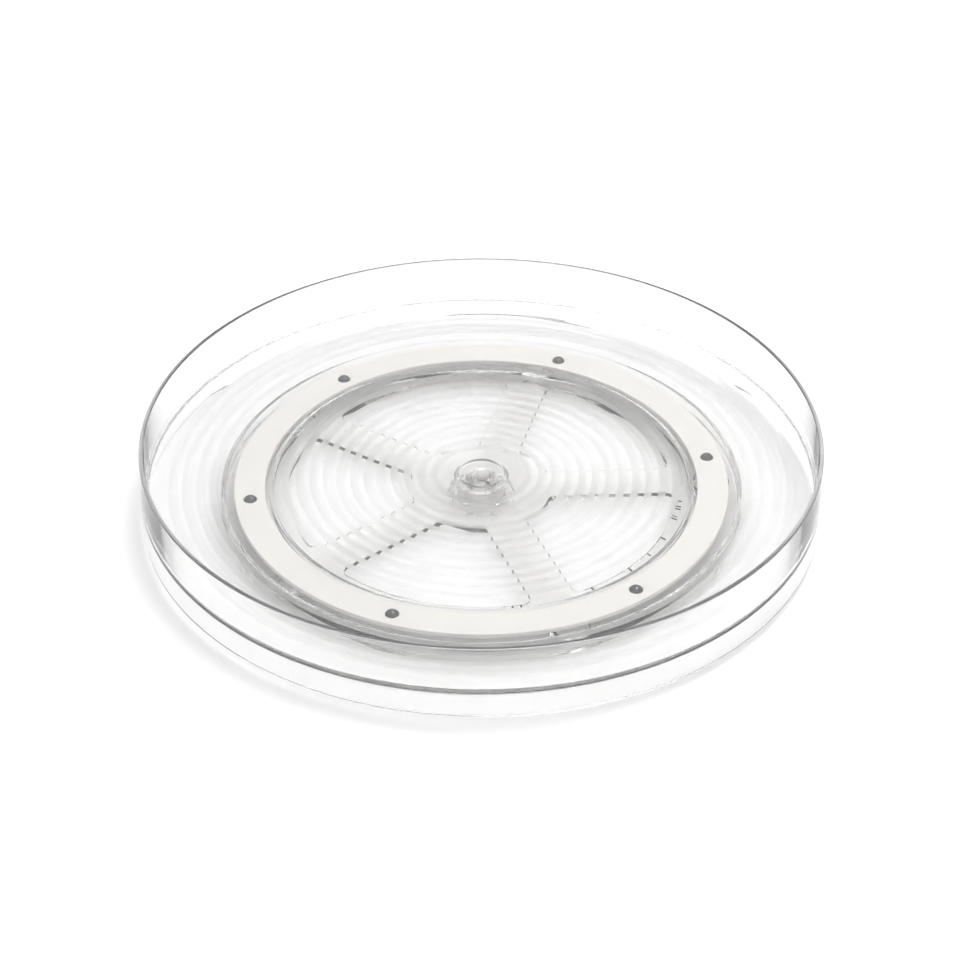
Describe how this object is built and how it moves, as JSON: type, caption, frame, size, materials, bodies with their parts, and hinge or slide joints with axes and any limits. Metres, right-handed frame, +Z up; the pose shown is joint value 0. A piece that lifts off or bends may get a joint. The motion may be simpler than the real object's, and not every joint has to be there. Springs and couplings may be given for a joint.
{
  "type": "lazy susan turntable",
  "caption": "Round clear plastic turntable tray with a low rim, turning on a caged ball race over a spoked clear base with soft feet.",
  "frame": {"origin": "on the spin axis, at the surface that the feet stand on", "axes": "+Z up along the spin axis; +X is 9 degrees clockwise of the first ball at rest, seen from above"},
  "size_m": [0.28, 0.28, 0.036],
  "materials": {
    "clear_plastic": "crystal clear moulded plastic, polished",
    "cage_plastic": "cream translucent moulded plastic, satin",
    "bearing_steel": "polished bearing steel",
    "foot_silicone": "frosted silicone, soft"
  },
  "bodies": {
    "base": {"base": "clear_plastic", "pivot_pin": "clear_plastic", "foot_1": "foot_silicone", "foot_2": "foot_silicone", "foot_3": "foot_silicone", "foot_4": "foot_silicone", "foot_5": "foot_silicone"},
    "tray": {"tray": "clear_plastic"},
    "cage": {"ball_cage": "cage_plastic"},
    "ball_1": {"ball_1": "bearing_steel"},
    "ball_2": {"ball_2": "bearing_steel"},
    "ball_3": {"ball_3": "bearing_steel"},
    "ball_4": {"ball_4": "bearing_steel"},
    "ball_5": {"ball_5": "bearing_steel"},
    "ball_6": {"ball_6": "bearing_steel"}
  },
  "joints": [
    {"name": "tray_spin", "type": "hinge", "parent": "base", "child": "tray", "pos_m": [0, 0, 0.0136], "axis": [0, 0, 1], "continuous": true},
    {"name": "cage_spin", "type": "hinge", "parent": "base", "child": "cage", "pos_m": [0, 0, 0.0108], "axis": [0, 0, 1], "continuous": true},
    {"name": "ball_1_roll", "type": "hinge", "parent": "cage", "child": "ball_1", "pos_m": [0.09442, 0.01495, 0.01065], "axis": [0.9877, 0.1564, 0], "continuous": true},
    {"name": "ball_2_roll", "type": "hinge", "parent": "cage", "child": "ball_2", "pos_m": [0.03426, 0.08925, 0.01065], "axis": [0.3584, 0.9336, 0], "continuous": true},
    {"name": "ball_3_roll", "type": "hinge", "parent": "cage", "child": "ball_3", "pos_m": [-0.06016, 0.07429, 0.01065], "axis": [-0.6293, 0.7771, 0], "continuous": true},
    {"name": "ball_4_roll", "type": "hinge", "parent": "cage", "child": "ball_4", "pos_m": [-0.09442, -0.01495, 0.01065], "axis": [-0.9877, -0.1564, 0], "continuous": true},
    {"name": "ball_5_roll", "type": "hinge", "parent": "cage", "child": "ball_5", "pos_m": [-0.03426, -0.08925, 0.01065], "axis": [-0.3584, -0.9336, 0], "continuous": true},
    {"name": "ball_6_roll", "type": "hinge", "parent": "cage", "child": "ball_6", "pos_m": [0.06016, -0.07429, 0.01065], "axis": [0.6293, -0.7771, 0], "continuous": true}
  ],
  "couplings": [
    {"joint": "cage_spin", "follows": "tray_spin", "ratio": 0.5},
    {"joint": "ball_1_roll", "follows": "tray_spin", "ratio": -17.382},
    {"joint": "ball_2_roll", "follows": "tray_spin", "ratio": -17.382},
    {"joint": "ball_3_roll", "follows": "tray_spin", "ratio": -17.382},
    {"joint": "ball_4_roll", "follows": "tray_spin", "ratio": -17.382},
    {"joint": "ball_5_roll", "follows": "tray_spin", "ratio": -17.382},
    {"joint": "ball_6_roll", "follows": "tray_spin", "ratio": -17.382}
  ]
}
